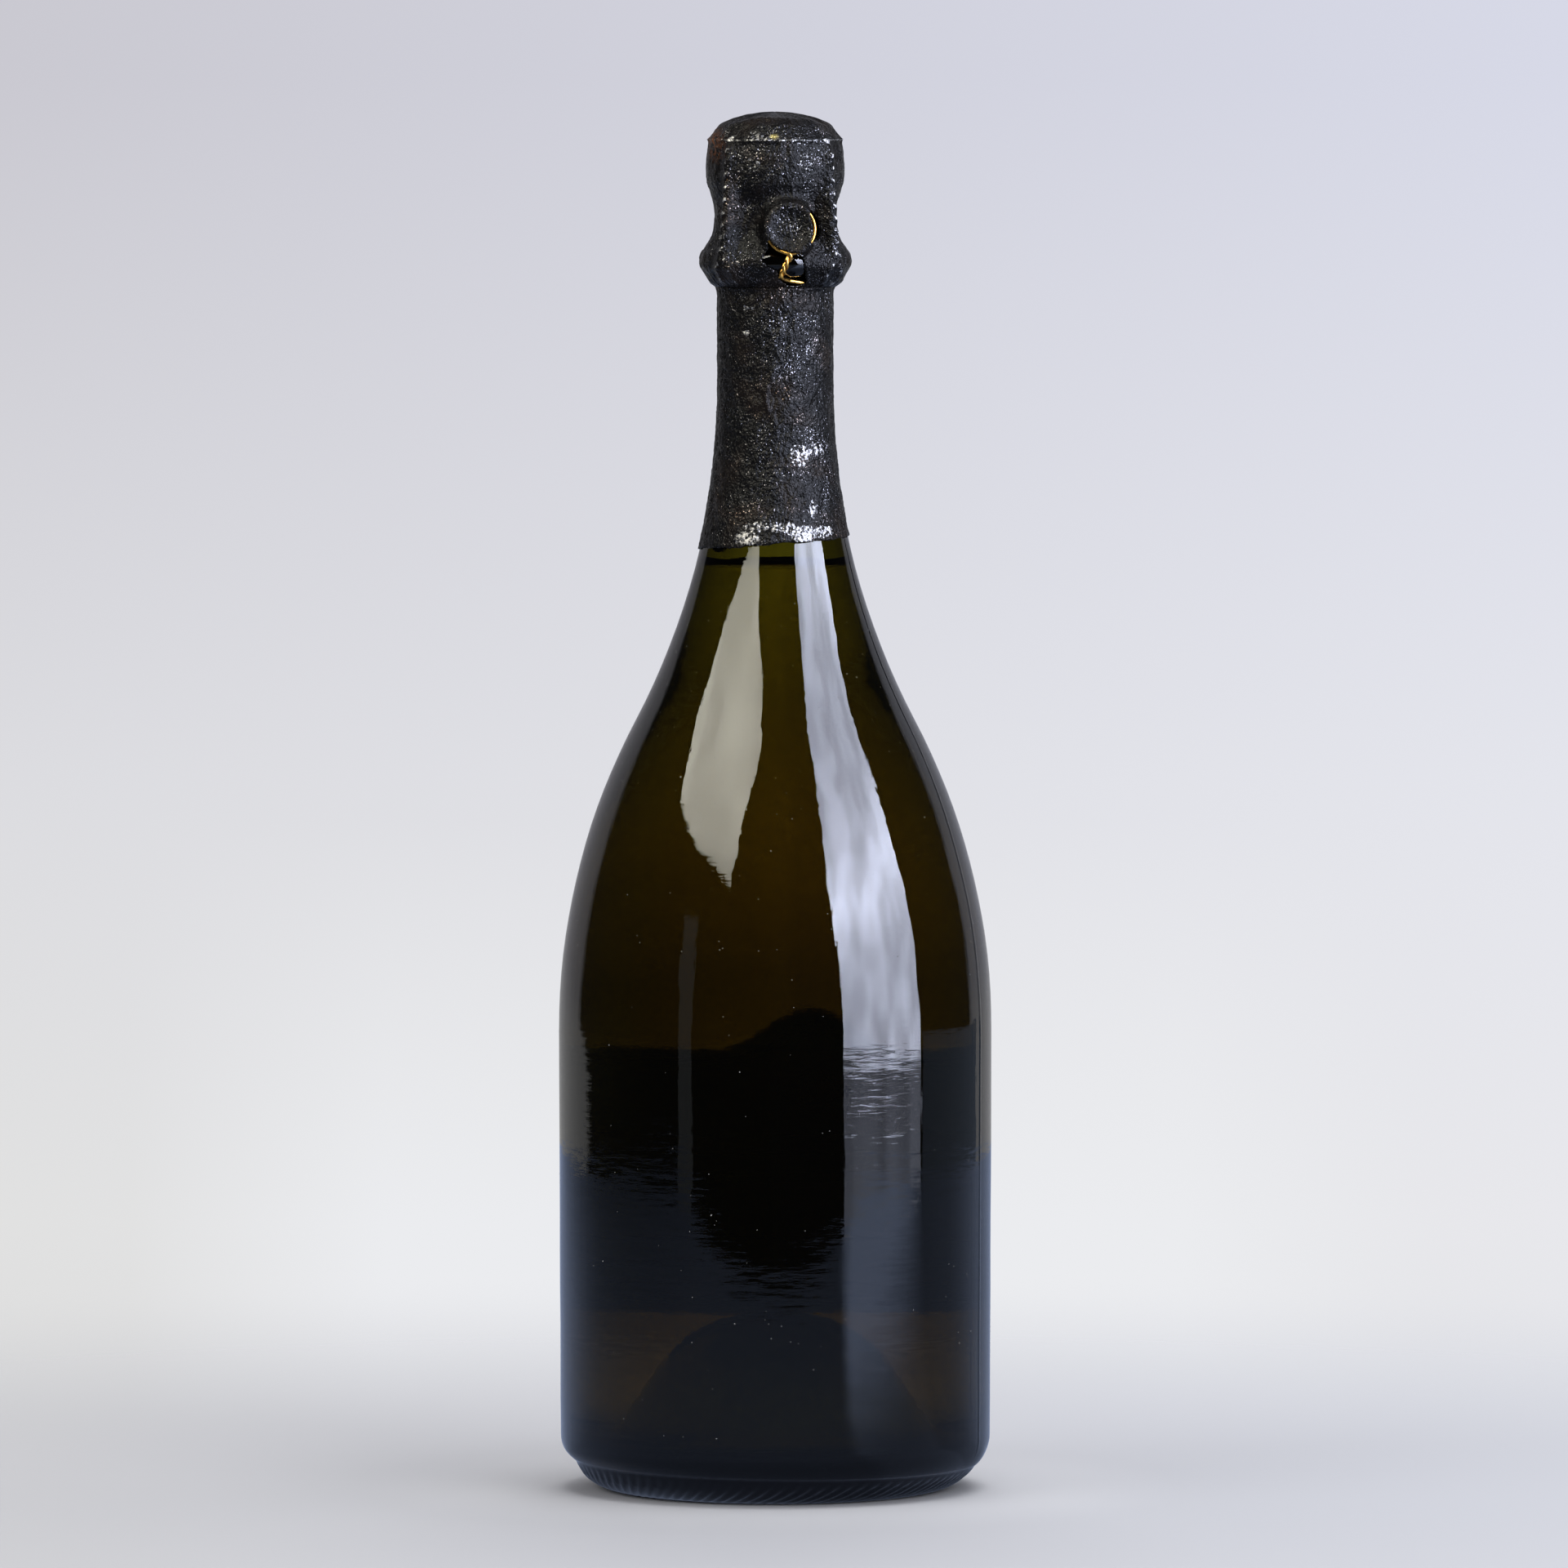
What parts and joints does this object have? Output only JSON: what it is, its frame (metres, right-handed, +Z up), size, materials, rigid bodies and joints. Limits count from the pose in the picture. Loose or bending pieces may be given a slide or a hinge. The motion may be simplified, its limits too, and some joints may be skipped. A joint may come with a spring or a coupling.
{
  "type": "wine bottle",
  "caption": "Sealed dark green sparkling wine bottle, full, with a foil capsule torn open over its wire cage and a paper label on the back.",
  "frame": {"origin": "centre of the ring that the bottle stands on, at the height of the surface under it", "axes": "+Z up along the bottle, -Y the front with the tear in the foil, +Y the back with the label"},
  "size_m": [0.1188, 0.1191, 0.3776],
  "materials": {
    "bottle_glass": "clear dark olive green glass, polished",
    "wine": "clear golden drink",
    "cork": "matte cork",
    "cap_plate": "satin lacquered sheet",
    "wire": "gold lacquered steel wire",
    "foil": "black lacquered foil, worn to bare metal on its creases",
    "label_paper": "uncoated paper"
  },
  "bodies": {
    "root": {"glass_bottle": "bottle_glass", "wine": "wine", "cork": "cork", "muselet_cap": "cap_plate", "muselet_frame": "wire", "muselet_belt": "wire", "foil_capsule": "foil", "label": "label_paper"}
  },
  "joints": []
}
